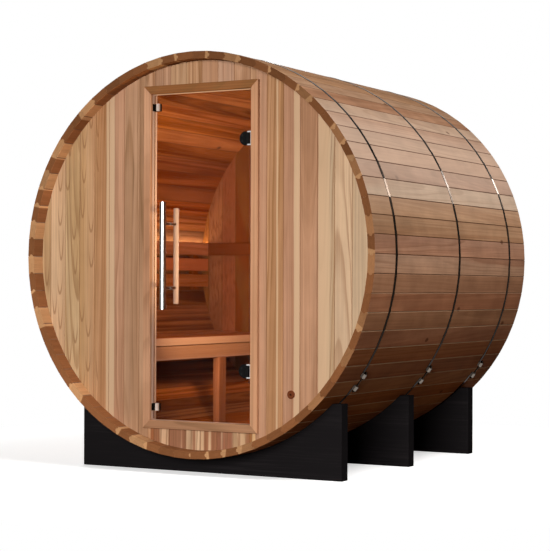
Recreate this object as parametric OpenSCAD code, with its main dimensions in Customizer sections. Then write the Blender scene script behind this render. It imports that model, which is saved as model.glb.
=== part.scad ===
// Barrel sauna of bead-and-cove staves, with a framed glass door, resting on three cradles.
// Millimetres, +Z up, door end toward -Y, origin on the ground under the middle of the barrel.

/* [Barrel] */
// Face width of one stave
stave_w = 88; // [75:0.5:120]
// Thickness of one stave
stave_t = 35; // [30:1:42]
// Length of the staves, front rim to rear rim
stave_l = 1830; // [1700:10:2200]
// Radius of the bead along one edge of a stave
bead_r = 9; // [6:0.5:10]
// Ease on the outer edges of a stave
stave_ease = 2.5; // [1:0.5:4]
// Play in the joint between two staves
stave_gap = 0.4; // [0.3:0.1:1]
// Depth of the groove in the staves that holds an end wall
croze_depth = 10; // [6:1:14]

/* [End walls] */
// Thickness of the end walls
wall_t = 38; // [32:1:44]
// Front rim to the outer face of the front wall
front_recess = 70; // [66:1:120]
// Rear rim to the outer face of the back wall
back_recess = 225; // [60:1:300]
// Wall left between the corners of the door casing and the staves
wall_over_door = 30; // [20:1:120]
// Cover width of one wall board
board_w = 88; // [60:1:140]
// Depth of the V joint between two boards
board_vee = 3; // [1:0.5:5]
// Play between an end wall and its groove
wall_play = 0.5; // [0.2:0.1:1]

/* [Doorway] */
// Middle of the doorway, right of the barrel's middle
door_x = 12; // [-30:1:30]
// Clear width of the doorway
door_w = 554; // [500:1:650]
// Clear height of the doorway
door_h = 1556; // [1400:2:1900]
// Middle of the doorway, below the barrel's middle
door_drop = 7; // [0:1:20]
// Thickness of the lining boards
lining_t = 19; // [15:1:25]
// Depth of the lining boards
lining_d = 40; // [39:1:80]
// Width of the casing
casing_w = 38; // [30:1:60]
// Thickness of the casing
casing_t = 19; // [12:1:22]
// Ease on the edges of the casing
casing_ease = 2; // [1:0.5:5]

/* [Glass door] */
// Thickness of the glass
glass_t = 8; // [6:1:10]
// Front of the wall to the front of the glass
glass_set = 6; // [4:1:12]
// Gap between the glass and the lining
glass_gap = 7; // [6.5:0.5:9]
// Height of a hinge
hinge_h = 66; // [48:1:80]
// Length of the cheeks that clamp the glass at a hinge
cheek_l = 35; // [34:1:60]
// Height of the lower hinge above the foot of the glass
hinge_low = 239; // [150:1:400]
// Depth of the upper hinge below the head of the glass
hinge_high = 224; // [150:1:400]
// Radius of the hinge pin
pin_r = 3; // [2.5:0.5:4]
// Running play round the hinge pin
pin_play = 0.06; // [0.03:0.01:0.1]
// Height of a door catch
catch_h = 35; // [25:1:50]
// End of the glass to the middle of a catch
catch_in = 55; // [40:1:120]

/* [Handles] */
// Radius of the outer tube
tube_r = 16; // [12:1:18]
// Length of the outer tube
tube_l = 508; // [400:2:700]
// Radius of the inner grip
grip_r = 13; // [10:0.5:16]
// Length of the inner grip
grip_l = 460; // [400:2:700]
// Spacing of the stand-offs
post_gap = 305; // [200:5:380]
// Radius of the stand-offs
post_r = 8; // [6:0.5:9]
// Glass to the middle of the outer tube
tube_off = 54; // [40:1:58]
// Glass to the middle of the inner grip
grip_off = 55; // [40:1:80]
// Wall of the outer tube
tube_wall = 2; // [1:0.5:4]
// Handles above the middle of the door
handle_up = 5; // [-100:1:100]
// Edge of the glass to the middle of the handles
handle_in = 85; // [60:1:150]
// Radius of the handle holes in the glass
glass_hole_r = 6; // [4:0.5:7]

/* [Cradles] */
// Thickness of a cradle
cradle_t = 60; // [38:1:90]
// Half the width of a cradle
cradle_half = 716; // [690:1:760]
// Height of the ends of a cradle
cradle_end_h = 350; // [250:1:380]
// Wood left under the lowest point of the barrel
cradle_base = 77; // [50:1:120]
// Rim to the middle of the cradle nearest to it
cradle_in = 177; // [140:1:400]
// Middle cradle, forward of the barrel's middle
cradle_mid = 15; // [0:1:60]

/* [Bands] */
// Width of a band
band_w = 20; // [15:1:30]
// Thickness of a band
band_t = 1.6; // [1:0.1:3]
// Cradle to the band beside it
band_off = 5; // [2:1:20]
// Angle from the top of the barrel to the tension screws
screw_angle = 128; // [110:1:135]
// Seam between two staves to the middle of a lug
lug_in = 35; // [28:1:44]
// Length of a lug
lug_l = 22; // [12:1:30]
// Height and width of a lug
lug_h = 20; // [18:1:30]
// Radius of the tension screw
screw_r = 4; // [3:0.5:5]

/* [Bench] */
// Seat above the lowest point inside the barrel
seat_h = 515; // [430:1:560]
// Doorway to the front of the bench
bench_clear = 35; // [22:1:120]
// Width of a seat slat
seat_slat_w = 88; // [60:1:140]
// Gap between the seat slats
seat_slat_gap = 12; // [6:1:20]
// Thickness of bench timber
bench_t = 38; // [30:1:40]
// Ease on the edges of bench timber
timber_ease = 3; // [1:0.5:6]
// Height of the apron
apron_h = 70; // [50:1:90]
// Width of the leg
leg_w = 70; // [50:1:90]
// Middle of the barrel to the leg, toward the door
leg_y = 130; // [0:1:300]

/* [Backrest] */
// Seat to the lowest back slat
back_rise = 257; // [180:1:300]
// Height of a back slat
back_slat_h = 70; // [50:1:80]
// Gap between the back slats
back_slat_gap = 19; // [10:1:30]
// Number of back slats
back_slats = 3; // [2:1:3]
// Thickness of a back slat
back_slat_t = 20; // [15:1:25]
// Wall to the back of the slats, at the widest
back_stand = 36; // [28:1:50]
// End walls to the outer uprights
upright_in = 120; // [60:1:250]
// Width of a backrest upright
upright_w = 44; // [30:1:70]
// Width of the light strip
light_w = 12; // [8:1:16]

/* [Cable grommet] */
// Middle of the barrel to the grommet
grommet_x = 497; // [450:1:520]
// Barrel's middle down to the grommet
grommet_drop = 639; // [600:1:660]
// Radius of the grommet's flange
grommet_r = 19; // [16:1:25]
// Radius of the cable hole
cable_r = 5; // [3:0.5:7]

/* [Hidden] */
$fn = 64;
seat = 0.2;
// Staves in fours, enough to clear the corners of the door casing
door_reach = norm([door_w / 2 + casing_w + abs(door_x), door_h / 2 + casing_w + door_drop]);
barrel_need = door_reach + wall_over_door + wall_play - croze_depth + stave_t;
stave_count = 4 * ceil(45 / atan(stave_w / 2 / barrel_need));
step = 360 / stave_count;
half = step / 2;
r_flat = stave_w / 2 / tan(half);
r_corner = r_flat / cos(half);
r_in = r_flat - stave_t;
r_mid = r_flat - stave_t / 2;
wall_r = r_in + croze_depth - wall_play;
z_c = cradle_base + r_corner + seat;
y_rim = -stave_l / 2;
y_wall = y_rim + front_recess;
y_wall_in = y_wall + wall_t;
y_back_in = stave_l / 2 - back_recess - wall_t;
// Doorway edges
x_l = door_x - door_w / 2;
x_r = door_x + door_w / 2;
z_sill = z_c - door_drop - door_h / 2;
z_head = z_sill + door_h;
frame_half = door_w / 2 + lining_t + seat;
// Glass edges
g_l = x_l + glass_gap;
g_r = x_r - glass_gap;
g_z0 = z_sill + glass_gap;
g_z1 = z_head - glass_gap;
y_g = y_wall + glass_set;
y_gb = y_g + glass_t;
// Hinge
knuckle_r = 8;
plate_t = 4;
hinge_d = 26;
ear_t = 6;
ear_play = 0.5;
notch_play = 5;
pin_clear = 12;
pin_lead = 6;
notch_clear = 4;
x_pin = x_r - plate_t - knuckle_r - pin_clear;
y_pin = y_g - pin_lead;
x_notch = x_pin - knuckle_r - notch_clear;
hinge_z = [g_z0 + hinge_low, g_z1 - hinge_high];
clamp_t = 5;
// Catches
catch_z = [g_z0 + catch_in, g_z1 - catch_in];
strike_t = 1.6;
strike_w = 15;
keep_t = 1.5;
keep_lead = 8;
magnet_d = 12;
magnet_w = 30;
magnet_gap = 5;
strike_in = 11;
y_magnet = y_gb + seat + strike_t + magnet_gap;
// Handles
x_h = g_l + handle_in;
z_h = z_c - door_drop + handle_up;
y_tube = y_g - tube_off;
y_grip = y_gb + grip_off;
plug_t = 3;
// Bench and backrest
z_seat = z_c - r_in + seat_h;
z_bear = z_seat - bench_t;
bench_x = bench_clear - x_l;
seat_reach = sqrt(pow(r_in, 2) - pow(z_c - z_bear, 2));
seat_pitch = seat_slat_w + seat_slat_gap;
seat_slats = floor((seat_reach - bench_x + seat_slat_gap) / seat_pitch);
bench_y0 = y_wall_in + seat;
bench_y1 = y_back_in - seat;
bearer_y = [bench_y0 + bench_t / 2, -leg_y, bench_y1 - bench_t / 2];
upright_y = [bench_y0 + upright_in, -leg_y, bench_y1 - upright_in];
upright_over = 15;
light_drop = 4;
z_back = z_seat + back_rise;
back_pitch = back_slat_h + back_slat_gap;
back_top = z_back + back_slats * back_pitch - back_slat_gap;
x_back = -(r_in - back_stand);
z_light = back_top - light_drop - light_w;
light_reach = sqrt(pow(r_in, 2) - pow(z_light + light_w - z_c, 2)) - seat;
x_light = max(x_back - light_w, -light_reach);
// Bands
cradle_y = stave_l / 2 - cradle_in;
band_y = [
    -cradle_y + cradle_t / 2 + band_off + band_w / 2,
    -cradle_mid + cradle_t / 2 + band_off + band_w / 2,
    cradle_y - cradle_t / 2 - band_off - band_w / 2
];
r_band = r_flat + seat + band_t;
screw_turn = round(screw_angle / step) * step;
r_screw = r_band + seat + lug_h / 2;
lug_shift = stave_w / 2 - lug_in;
screw_x = r_screw * sin(half) - lug_shift * cos(half);
z_screw = r_screw * cos(half) + lug_shift * sin(half);
band_part = screw_x - lug_l / 2;
nut_r = 1.9 * screw_r;
nut_x = screw_x + lug_l / 2 + nut_r * tan(half) + seat;
// Grommet
flange_lip = 5;
flange_t = 4;
flange_dome = 3;
sleeve_r = grommet_r - flange_lip;

// Places a piece that is drawn at the top of the barrel at a turn about the barrel's axis.
module around(turn) {
    translate([0, 0, z_c])
        rotate([0, turn, 0])
            children();
}

// A round bar along +Y.
module bar_y(r, h) {
    rotate([-90, 0, 0])
        cylinder(r = r, h = h);
}

// An outline in X and Z given thickness along Y, from y0 to y0 + t.
module upright_plate(y0, t) {
    translate([0, y0 + t, 0])
        rotate([90, 0, 0])
            linear_extrude(height = t)
                children();
}

// Section of a timber with eased edges.
function eased(w, h, e) = [
    [e, 0], [w - e, 0], [w, e], [w, h - e], [w - e, h], [e, h], [0, h - e], [0, e]
];

// An eased timber along Y, over the length of the bench less short.
module timber(x, z, w, h, short = 0) {
    translate([x, 0, z])
        upright_plate(bench_y0, bench_y1 - bench_y0 - short)
            polygon(eased(w, h, timber_ease));
}

// Space inside the staves, for cutting timber to the curve.
module cabin() {
    translate([0, y_rim, z_c])
        bar_y(r_in - seat, stave_l, $fn = 360);
}

// Section of one stave: bead on one edge, cove on the other, eased outer edges.
module stave_section() {
    top = r_flat * tan(half) - stave_gap / 2;
    low = r_in * tan(half) - stave_gap / 2;
    mid = r_mid * tan(half);
    difference() {
        union() {
            polygon([
                [-low, r_in], [low, r_in],
                [top, r_flat - stave_ease], [top - stave_ease, r_flat],
                [-top + stave_ease, r_flat], [-top, r_flat - stave_ease]
            ]);
            translate([mid - stave_gap / 2, r_mid])
                circle(r = bead_r);
        }
        translate([-mid - stave_gap / 2, r_mid])
            circle(r = bead_r + stave_gap);
    }
}

module croze(y0) {
    translate([-stave_w, y0 - wall_play, r_in - 1])
        cube([2 * stave_w, wall_t + 2 * wall_play, croze_depth + 1]);
}

module stave() {
    difference() {
        upright_plate(y_rim, stave_l)
            stave_section();
        croze(y_wall);
        croze(y_back_in);
    }
}

// One eighth of the barrel.
module stave_group(g) {
    first = floor(g * stave_count / 8);
    last = floor((g + 1) * stave_count / 8) - 1;
    color("peru")
        for (k = [first : last])
            around((k + 0.5) * step)
                stave();
}

module staves_top_right() {
    stave_group(0);
}

module staves_upper_right() {
    stave_group(1);
}

module staves_lower_right() {
    stave_group(2);
}

module staves_bottom_right() {
    stave_group(3);
}

module staves_bottom_left() {
    stave_group(4);
}

module staves_lower_left() {
    stave_group(5);
}

module staves_upper_left() {
    stave_group(6);
}

module staves_top_left() {
    stave_group(7);
}

// V joints of the wall boards that lie between x0 and x1.
module board_joints(y0, x0, x1) {
    first = ceil((x0 + 2 * board_vee - door_x) / board_w);
    last = floor((x1 - 2 * board_vee - door_x) / board_w);
    for (k = [first : last])
        for (y = [y0, y0 + wall_t])
            translate([door_x + k * board_w, y, z_c])
                rotate([0, 0, 45])
                    cube([board_vee * sqrt(2), board_vee * sqrt(2), 3 * wall_r], center = true);
}

// Part of an end wall between two upright and two level lines.
module wall_part(y0, x0, x1, z0, z1) {
    difference() {
        intersection() {
            translate([0, y0, z_c])
                bar_y(wall_r, wall_t, $fn = 360);
            translate([x0, y0 - 1, z0])
                cube([x1 - x0, wall_t + 2, z1 - z0]);
        }
        board_joints(y0, max(x0, -wall_r), min(x1, wall_r));
    }
}

module front_wall_left() {
    color("burlywood")
        wall_part(y_wall, -2 * wall_r, door_x - frame_half, z_c - 2 * wall_r, z_c + 2 * wall_r);
}

module front_wall_right() {
    color("burlywood")
        difference() {
            wall_part(y_wall, door_x + frame_half, 2 * wall_r, z_c - 2 * wall_r, z_c + 2 * wall_r);
            translate([grommet_x, y_wall - 1, z_c - grommet_drop])
                bar_y(sleeve_r + seat, wall_t + 2);
        }
}

module front_wall_header() {
    color("burlywood")
        wall_part(y_wall, door_x - frame_half + seat, door_x + frame_half - seat,
            z_head + lining_t + seat, z_c + 2 * wall_r);
}

module front_wall_sill() {
    color("burlywood")
        wall_part(y_wall, door_x - frame_half + seat, door_x + frame_half - seat,
            z_c - 2 * wall_r, z_sill - lining_t - seat);
}

module back_wall() {
    color("burlywood")
        wall_part(y_back_in, -2 * wall_r, 2 * wall_r, z_c - 2 * wall_r, z_c + 2 * wall_r);
}

module door_lining() {
    color("tan") {
        for (x = [x_l - lining_t, x_r])
            translate([x, y_wall, z_sill + seat])
                cube([lining_t, lining_d, door_h - 2 * seat]);
        for (z = [z_sill - lining_t, z_head])
            translate([x_l - lining_t, y_wall, z])
                cube([door_w + 2 * lining_t, lining_d, lining_t]);
    }
}

// One mitred length of casing, its inner edge on X, its width along Y and its face toward +Z.
module casing_length(inner) {
    reach = inner / 2 + casing_w;
    intersection() {
        linear_extrude(height = casing_t)
            polygon([
                [-inner / 2 + seat, 0], [inner / 2 - seat, 0],
                [reach - seat, casing_w], [-reach + seat, casing_w]
            ]);
        translate([-reach, 0, 0])
            rotate([90, 0, 90])
                linear_extrude(height = 2 * reach)
                    polygon(eased(casing_w, casing_t, casing_ease));
    }
}

module door_casing() {
    color("tan")
        translate([door_x, y_wall - seat, z_c - door_drop])
            rotate([90, 0, 0])
                for (level = [true, false])
                    for (turn = level ? [0, 180] : [90, 270])
                        rotate(turn)
                            translate([0, (level ? door_h : door_w) / 2, 0])
                                casing_length(level ? door_w : door_h);
}

// A cradle cut to the curve of the barrel.
module cradle(y) {
    color("#262626")
        upright_plate(y - cradle_t / 2, cradle_t)
            difference() {
                translate([-cradle_half, 0])
                    square([2 * cradle_half, cradle_end_h]);
                translate([0, z_c])
                    circle(r = r_corner + seat, $fn = 360);
            }
}

module cradle_front() {
    cradle(-cradle_y);
}

module cradle_middle() {
    cradle(-cradle_mid);
}

module cradle_rear() {
    cradle(cradle_y);
}

// Outline with one flat for each stave.
function stave_ring(r) = [
    for (k = [0 : stave_count - 1]) r / cos(half) * [sin(k * step), cos(k * step)]
];

// A band bent over the staves and parted between its lugs.
module band(y) {
    color("silver")
        difference() {
            translate([0, 0, z_c])
                upright_plate(y - band_w / 2, band_w)
                    difference() {
                        polygon(stave_ring(r_band));
                        polygon(stave_ring(r_flat + seat));
                    }
            around(screw_turn)
                translate([-band_part, y - band_w, r_in])
                    cube([2 * band_part, 2 * band_w, 2 * stave_t]);
        }
}

module band_front() {
    band(band_y[0]);
}

module band_middle() {
    band(band_y[1]);
}

module band_rear() {
    band(band_y[2]);
}

// A round-topped lug on the flat beside the parted ends of a band.
module lug() {
    translate([-lug_l / 2, -lug_h / 2, r_band + seat])
        cube([lug_l, lug_h, lug_h / 2]);
    translate([-lug_l / 2, 0, r_screw])
        rotate([0, 90, 0])
            cylinder(r = lug_h / 2, h = lug_l);
}

module tension_lugs() {
    color("gainsboro")
        for (y = band_y)
            for (side = [-1, 1])
                translate([0, y, 0])
                    difference() {
                        around(screw_turn + side * half)
                            translate([-side * lug_shift, 0, 0])
                                lug();
                        around(screw_turn)
                            translate([0, 0, z_screw])
                                rotate([0, 90, 0])
                                    cylinder(r = screw_r + seat, h = 4 * screw_x, center = true);
                    }
}

module tension_screws() {
    color("gainsboro")
        for (y = band_y)
            around(screw_turn)
                translate([0, y, z_screw])
                    rotate([0, 90, 0]) {
                        cylinder(r = screw_r, h = 2 * nut_x + 6 * screw_r, center = true);
                        for (side = [0, 1])
                            mirror([0, 0, side])
                                translate([0, 0, nut_x])
                                    cylinder(r = nut_r, h = 1.7 * screw_r, $fn = 6);
                    }
}

module bench_seat() {
    color("sienna")
        for (k = [0 : seat_slats - 1])
            timber(-bench_x - seat_slat_w - k * seat_pitch, z_bear, seat_slat_w, bench_t);
}

module bench_apron() {
    color("sienna")
        timber(-bench_x - bench_t, z_bear - seat - apron_h, bench_t, apron_h);
}

module bench_leg() {
    color("sienna")
        intersection() {
            translate([-bench_x - bench_t, -leg_y - leg_w / 2, z_c - r_in])
                linear_extrude(height = seat_h - bench_t - apron_h - 2 * seat)
                    polygon(eased(bench_t, leg_w, timber_ease));
            cabin();
        }
}

module bench_bearers() {
    color("sienna")
        for (y = bearer_y)
            intersection() {
                translate([-r_in, y - bench_t / 2, z_bear - seat - apron_h])
                    cube([r_in - bench_x - bench_t - seat, bench_t, apron_h]);
                cabin();
            }
}

module backrest_slats() {
    color("sienna")
        for (k = [0 : back_slats - 1])
            timber(x_back + seat, z_back + k * back_pitch, back_slat_t, back_slat_h, back_slat_t + seat);
}

module backrest_uprights() {
    color("sienna")
        for (y = upright_y)
            intersection() {
                translate([-r_in, y - upright_w / 2, z_back - upright_over])
                    cube([back_stand, upright_w, z_light - seat - z_back + upright_over]);
                cabin();
            }
}

module back_wall_rail() {
    color("sienna")
        translate([x_back + seat, bench_y1 - back_slat_t, back_top - back_slat_h])
            rotate([90, 0, 90])
                linear_extrude(height = -bench_x - x_back - seat)
                    polygon(eased(back_slat_t, back_slat_h, timber_ease));
}

module light_strip() {
    color("moccasin")
        timber(x_light, z_light, light_w, light_w);
}

module cable_grommet() {
    color("saddlebrown")
        translate([grommet_x, y_wall, z_c - grommet_drop])
            difference() {
                union() {
                    translate([0, -seat - flange_t, 0])
                        bar_y(grommet_r, flange_t);
                    translate([0, -seat - flange_t - flange_dome, 0])
                        rotate([-90, 0, 0])
                            cylinder(r1 = grommet_r - flange_dome, r2 = grommet_r, h = flange_dome);
                    translate([0, -seat - flange_t, 0])
                        bar_y(sleeve_r, flange_t + seat + wall_t);
                }
                translate([0, -wall_t, 0])
                    bar_y(cable_r, 3 * wall_t);
            }
}

module hinge_brackets() {
    color("gainsboro")
        for (z = hinge_z)
            translate([0, 0, z - hinge_h / 2]) {
                translate([x_r - seat - plate_t, y_pin - hinge_d / 2, 0])
                    cube([plate_t, hinge_d, hinge_h]);
                for (up = [0, hinge_h - ear_t])
                    translate([x_pin, y_pin, up]) {
                        cylinder(r = knuckle_r, h = ear_t);
                        translate([0, -knuckle_r, 0])
                            cube([x_r - seat - plate_t / 2 - x_pin, 2 * knuckle_r, ear_t]);
                    }
                translate([x_pin, y_pin, ear_t / 2])
                    cylinder(r = pin_r, h = hinge_h - ear_t);
            }
}

// Round-ended cheek of a hinge clamp.
module clamp_cheek(y0) {
    upright_plate(y0, clamp_t)
        intersection() {
            union() {
                translate([x_notch - cheek_l + hinge_h / 2, 0])
                    circle(r = hinge_h / 2);
                translate([x_notch - cheek_l + hinge_h / 2, -hinge_h / 2])
                    square([hinge_h, hinge_h]);
            }
            translate([x_notch - cheek_l, -hinge_h])
                square([cheek_l, 2 * hinge_h]);
        }
}

module hinge_clamps() {
    rise = hinge_h / 2 - ear_t - ear_play;
    color("#303030")
        for (z = hinge_z)
            translate([0, 0, z])
                difference() {
                    union() {
                        clamp_cheek(y_g - seat - clamp_t);
                        clamp_cheek(y_gb + seat);
                        translate([x_notch - ear_play, y_g - seat - clamp_t, -rise])
                            cube([x_pin - x_notch + ear_play, glass_t + 2 * seat + 2 * clamp_t, 2 * rise]);
                        translate([x_pin, y_pin, -rise])
                            cylinder(r = knuckle_r, h = 2 * rise);
                    }
                    translate([x_pin, y_pin, -hinge_h])
                        cylinder(r = pin_r + pin_play, h = 2 * hinge_h);
                }
}

module catch_plates() {
    color("gainsboro")
        for (z = catch_z)
            translate([x_l + seat, y_g - keep_lead, z - catch_h / 2])
                cube([keep_t, keep_lead + y_magnet + magnet_d - y_g, catch_h]);
}

module catch_magnets() {
    color("#303030")
        for (z = catch_z)
            translate([x_l + 2 * seat + keep_t, y_magnet, z - catch_h / 2])
                cube([magnet_w, magnet_d, catch_h]);
}

module catch_strikes() {
    color("gainsboro")
        for (z = catch_z)
            for (y = [y_g - seat - strike_t, y_gb + seat])
                translate([g_l + strike_in, y, z - catch_h / 2])
                    cube([strike_w, strike_t, catch_h]);
}

module door_glass() {
    color("orange", 0.5)
        difference() {
            translate([g_l, y_g, g_z0])
                cube([g_r - g_l, glass_t, g_z1 - g_z0]);
            for (z = hinge_z)
                translate([x_notch - 2 * ear_play, y_g - 1, z - hinge_h / 2 - notch_play])
                    cube([g_r - x_notch + glass_gap, glass_t + 2, hinge_h + 2 * notch_play]);
            for (side = [-1, 1])
                translate([x_h, y_g - 1, z_h + side * post_gap / 2])
                    bar_y(glass_hole_r, glass_t + 2);
        }
}

// Tube with its top closed and a plug in its foot.
module outer_handle() {
    bore = tube_r - tube_wall;
    color("gainsboro")
        translate([x_h, y_tube, z_h - tube_l / 2]) {
            translate([0, 0, plug_t + seat])
                difference() {
                    cylinder(r = tube_r, h = tube_l - plug_t - seat);
                    translate([0, 0, -plug_t])
                        cylinder(r = bore, h = tube_l - plug_t - seat);
                }
            cylinder(r = tube_r, h = plug_t);
            cylinder(r = bore - seat, h = 4 * plug_t);
        }
}

// Round grip with eased ends.
module inner_handle() {
    color("burlywood")
        translate([x_h, y_grip, z_h]) {
            cylinder(r = grip_r, h = grip_l - 2 * timber_ease, center = true);
            for (side = [0, 1])
                mirror([0, 0, side])
                    translate([0, 0, grip_l / 2 - timber_ease])
                        cylinder(r1 = grip_r, r2 = grip_r - timber_ease, h = timber_ease);
        }
}

module handle_posts() {
    color("gainsboro")
        for (side = [-1, 1])
            translate([x_h, 0, z_h + side * post_gap / 2])
                difference() {
                    union() {
                        translate([0, y_tube, 0])
                            bar_y(post_r, y_g - seat - y_tube);
                        translate([0, y_g - 1, 0])
                            bar_y(glass_hole_r - seat, glass_t + 2);
                        translate([0, y_gb + seat, 0])
                            bar_y(post_r, y_grip - y_gb - seat);
                    }
                    translate([0, y_tube, -post_gap])
                        cylinder(r = tube_r + seat, h = 2 * post_gap);
                    translate([0, y_grip, -post_gap])
                        cylinder(r = grip_r + seat, h = 2 * post_gap);
                }
}

staves_top_right();
staves_upper_right();
staves_lower_right();
staves_bottom_right();
staves_bottom_left();
staves_lower_left();
staves_upper_left();
staves_top_left();
front_wall_left();
front_wall_right();
front_wall_header();
front_wall_sill();
back_wall();
door_lining();
door_casing();
cradle_front();
cradle_middle();
cradle_rear();
band_front();
band_middle();
band_rear();
tension_lugs();
tension_screws();
bench_seat();
bench_apron();
bench_leg();
bench_bearers();
backrest_slats();
backrest_uprights();
back_wall_rail();
light_strip();
cable_grommet();
hinge_brackets();
catch_plates();
catch_magnets();
door_glass();
hinge_clamps();
catch_strikes();
outer_handle();
inner_handle();
handle_posts();
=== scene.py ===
import math

import bmesh
import bpy
from bpy.props import FloatProperty, FloatVectorProperty, IntProperty, PointerProperty
from bpy.types import Operator, Panel, PropertyGroup
from mathutils import Matrix, Vector


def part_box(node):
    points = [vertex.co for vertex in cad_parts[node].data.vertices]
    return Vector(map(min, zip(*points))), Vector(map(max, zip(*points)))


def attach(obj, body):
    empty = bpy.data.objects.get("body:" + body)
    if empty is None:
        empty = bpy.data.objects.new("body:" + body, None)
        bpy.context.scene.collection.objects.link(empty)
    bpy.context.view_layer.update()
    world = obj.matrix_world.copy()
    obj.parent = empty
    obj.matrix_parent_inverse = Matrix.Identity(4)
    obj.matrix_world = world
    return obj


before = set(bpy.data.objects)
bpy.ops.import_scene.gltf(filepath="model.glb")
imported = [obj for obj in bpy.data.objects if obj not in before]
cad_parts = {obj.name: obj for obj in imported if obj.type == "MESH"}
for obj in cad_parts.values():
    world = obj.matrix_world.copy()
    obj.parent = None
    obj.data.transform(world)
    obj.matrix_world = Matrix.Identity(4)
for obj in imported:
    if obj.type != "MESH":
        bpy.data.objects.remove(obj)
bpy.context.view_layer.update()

bl_info = {
    "name": "Barrel Sauna",
    "version": (1, 0, 0),
    "blender": (4, 5, 0),
    "location": "View3D > Sidebar > Sauna",
    "description": "Dresses a barrel sauna in wood, glass and metal",
    "category": "Object",
}

STAVES = [
    "staves_top_right", "staves_upper_right", "staves_lower_right", "staves_bottom_right",
    "staves_bottom_left", "staves_lower_left", "staves_upper_left", "staves_top_left",
]
WALLS = ["front_wall_left", "front_wall_right", "front_wall_header", "front_wall_sill", "back_wall"]
TRIM = ["door_lining", "door_casing"]
CRADLES = ["cradle_front", "cradle_middle", "cradle_rear"]
BANDS = ["band_front", "band_middle", "band_rear"]
CROSS_TIMBER = ["bench_bearers", "back_wall_rail"]
UPRIGHT_TIMBER = ["bench_leg", "backrest_uprights"]
BRIGHT = ["hinge_brackets", "catch_plates", "outer_handle", "handle_posts"]
BLACK = ["hinge_clamps", "catch_magnets"]

# Slack in metres for telling one face from another
NEAR = 0.001

# Where the pith lies beside and behind a board, in metres, and its slope along the board
PITH_SIDE, PITH_NEAR, PITH_RANGE = 0.13, 0.03, 0.11
PITH_LEAN, PITH_TILT = 0.03, 0.07

# Tints that multiply the wood's own tone
PLAIN = (1, 1, 1)
# Inside the cabin: painted light on the ceiling, painted shade on the wall beneath it, the lower staves and
# the floor tinted redder, and the bench's painted shadow
LIT_CEILING, LIT_FAIR_CEILING = (1.34, 1.22, 1.05), (1.25, 1.5, 1.9)
SHADED_SHOULDER, LOW_SIDE = (0.76, 0.54, 0.42), (0.98, 0.82, 0.66)
FOOTING, BENCH_SHADOW = (1.2, 0.95, 0.68), (0.7, 0.4, 0.3)
# Painted shade on the outside of the staves: darker at the top, redder and darker low down
TOP_SHADE, LOW_SHADE, BOTTOM_SHADE = (0.67, 0.65, 0.6), (1.0, 0.82, 0.68), (0.64, 0.42, 0.26)
PALE_RIGHT = (0.86, 0.9, 0.95)
SILL_DEEP, TRIM_DEEP, BENCH_DEEP = (0.85, 0.8, 0.75), (0.8, 0.74, 0.68), (0.66, 0.56, 0.47)

# Tones that stand beside those of the settings
# A painted sheen on the staves between the middle and the top
PAINTED_SHEEN = (0.60, 0.46, 0.36)
STAVE_SAP, CABIN_SAP = (0.52, 0.36, 0.25), (0.55, 0.24, 0.09)
BACK_SAP, BACK_SIDE_SAP = (0.28, 0.08, 0.028), (0.45, 0.185, 0.066)
SILL_DARK, SILL_PALE = (0.31, 0.13, 0.063), (0.62, 0.39, 0.23)
# Warm tone of the catch strikes, a painted warm reflection
WARM_REFLECTED_SATIN = (0.66, 0.53, 0.46)
GLASS_RIM = (0.12, 0.06, 0.03)
DAYLIGHT = (1.0, 0.985, 0.96)

# Where the boards beside the doorway have cream edges, from x to x
CREAM_EDGES = ((-0.532, -0.484), (0.417, 0.425), (0.508, 0.538), (0.634, 0.69))


# Settings

def colour(name, text, value):
    return FloatVectorProperty(name=name, description=text, subtype="COLOR", size=3, min=0, max=1,
                               default=value)


def length(name, text, value):
    return FloatProperty(name=name, description=text, subtype="DISTANCE", unit="LENGTH", default=value)


def angle(name, text, degrees):
    return FloatProperty(name=name, description=text, subtype="ANGLE", default=math.radians(degrees))


def power(name, text, value):
    return FloatProperty(name=name, description=text, default=value, min=0)


class SaunaSizes(PropertyGroup):
    stave_count: IntProperty(name="Staves", description="Staves round the barrel", default=68, min=8)
    stave_t: length("Stave thickness", "Thickness of one stave", 0.035)
    bead_r: length("Bead radius", "Radius of the bead between two staves", 0.009)
    board_w: length("Board width", "Cover width of one wall board", 0.088)
    slat_w: length("Slat width", "Width of one seat slat", 0.088)
    slat_pitch: length("Slat pitch", "Seat slat and gap together", 0.1)
    row_pitch: length("Back slat pitch", "Back slat and gap together", 0.089)
    clamp_r: length("Clamp radius", "Half the height of a hinge clamp", 0.033)
    screw_r: length("Screw head radius", "Radius of the bench and hinge screw heads", 0.0042)


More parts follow.
